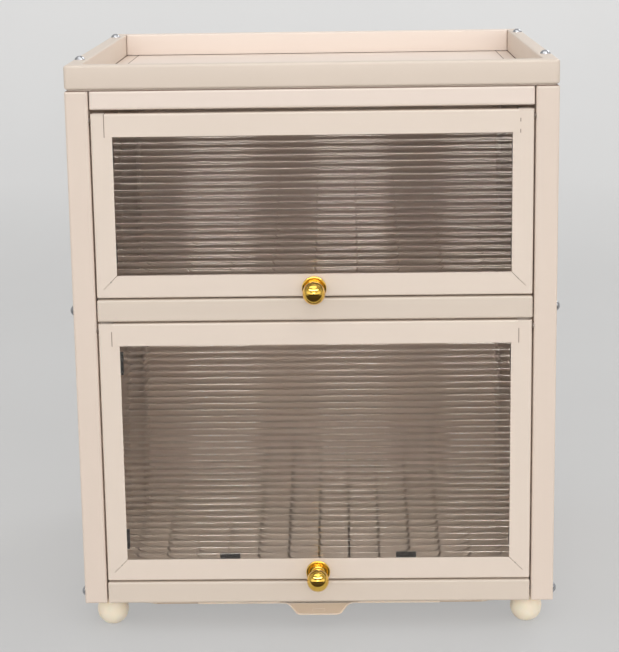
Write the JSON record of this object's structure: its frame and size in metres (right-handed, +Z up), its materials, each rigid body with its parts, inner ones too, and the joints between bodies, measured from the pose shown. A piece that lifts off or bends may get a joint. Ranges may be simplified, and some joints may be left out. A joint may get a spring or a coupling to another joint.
{
  "type": "countertop cabinet",
  "caption": "Two-tier folded-steel countertop cabinet with flip-up reeded doors, a gallery rim on top, slotted floors and a pull-out drip tray on ball feet.",
  "frame": {"origin": "on the ground under the middle of the whole cabinet, knobs included", "axes": "+Z up, the doors face -Y, +X to the right as seen by someone behind the front"},
  "size_m": [0.4064, 0.381, 0.4884],
  "materials": {
    "cream_steel": "fine satin powder coat, warm cream",
    "door_steel": "fine satin powder coat, warm cream",
    "zinc_steel": "bright zinc-plated steel",
    "bumper_rubber": "translucent soft rubber",
    "tray_plastic": "moulded cream plastic",
    "foot_plastic": "smooth ivory plastic",
    "clear_acrylic": "clear acrylic with horizontal ribs",
    "foam": "black foam tape",
    "white_nylon": "natural nylon",
    "gold_brass": "polished gold"
  },
  "bodies": {
    "cabinet": {"side_panel_left": "cream_steel", "side_panel_right": "cream_steel", "top_panel": "cream_steel", "mid_shelf": "cream_steel", "bottom_panel": "cream_steel", "back_panel": "cream_steel", "gallery_front_rail": "cream_steel", "gallery_left_rail": "cream_steel", "gallery_right_rail": "cream_steel", "gallery_rear_rail": "cream_steel", "gallery_screws": "zinc_steel", "gallery_nuts": "zinc_steel", "side_screws": "zinc_steel", "side_nuts": "zinc_steel", "bumper_lugs": "cream_steel", "door_bumpers": "bumper_rubber", "foot_front_left": "foot_plastic", "foot_front_right": "foot_plastic", "foot_rear_left": "foot_plastic", "foot_rear_right": "foot_plastic", "foot_studs": "zinc_steel", "foot_nuts": "zinc_steel", "tray_runner_left": "cream_steel", "tray_runner_right": "cream_steel"},
    "upper_door": {"upper_door_frame": "door_steel", "upper_door_strip": "door_steel", "upper_door_panel": "clear_acrylic", "upper_door_pads": "foam", "upper_door_pins": "zinc_steel", "upper_door_washers": "white_nylon", "upper_door_knob": "gold_brass", "upper_door_knob_screw": "zinc_steel"},
    "lower_door": {"lower_door_frame": "door_steel", "lower_door_strip": "door_steel", "lower_door_panel": "clear_acrylic", "lower_door_pads": "foam", "lower_door_pins": "zinc_steel", "lower_door_washers": "white_nylon", "lower_door_knob": "gold_brass", "lower_door_knob_screw": "zinc_steel"},
    "drip_tray": {"drip_tray": "tray_plastic"}
  },
  "joints": [
    {"name": "upper_door_hinge", "type": "hinge", "parent": "cabinet", "child": "upper_door", "pos_m": [0, -0.156, 0.4398], "axis": [-1, 0, 0], "range_deg": [0, 115]},
    {"name": "lower_door_hinge", "type": "hinge", "parent": "cabinet", "child": "lower_door", "pos_m": [0, -0.156, 0.2653], "axis": [-1, 0, 0], "range_deg": [0, 115]},
    {"name": "drip_tray_slide", "type": "slide", "parent": "cabinet", "child": "drip_tray", "axis": [0, -1, 0], "range_m": [0, 0.2]}
  ]
}
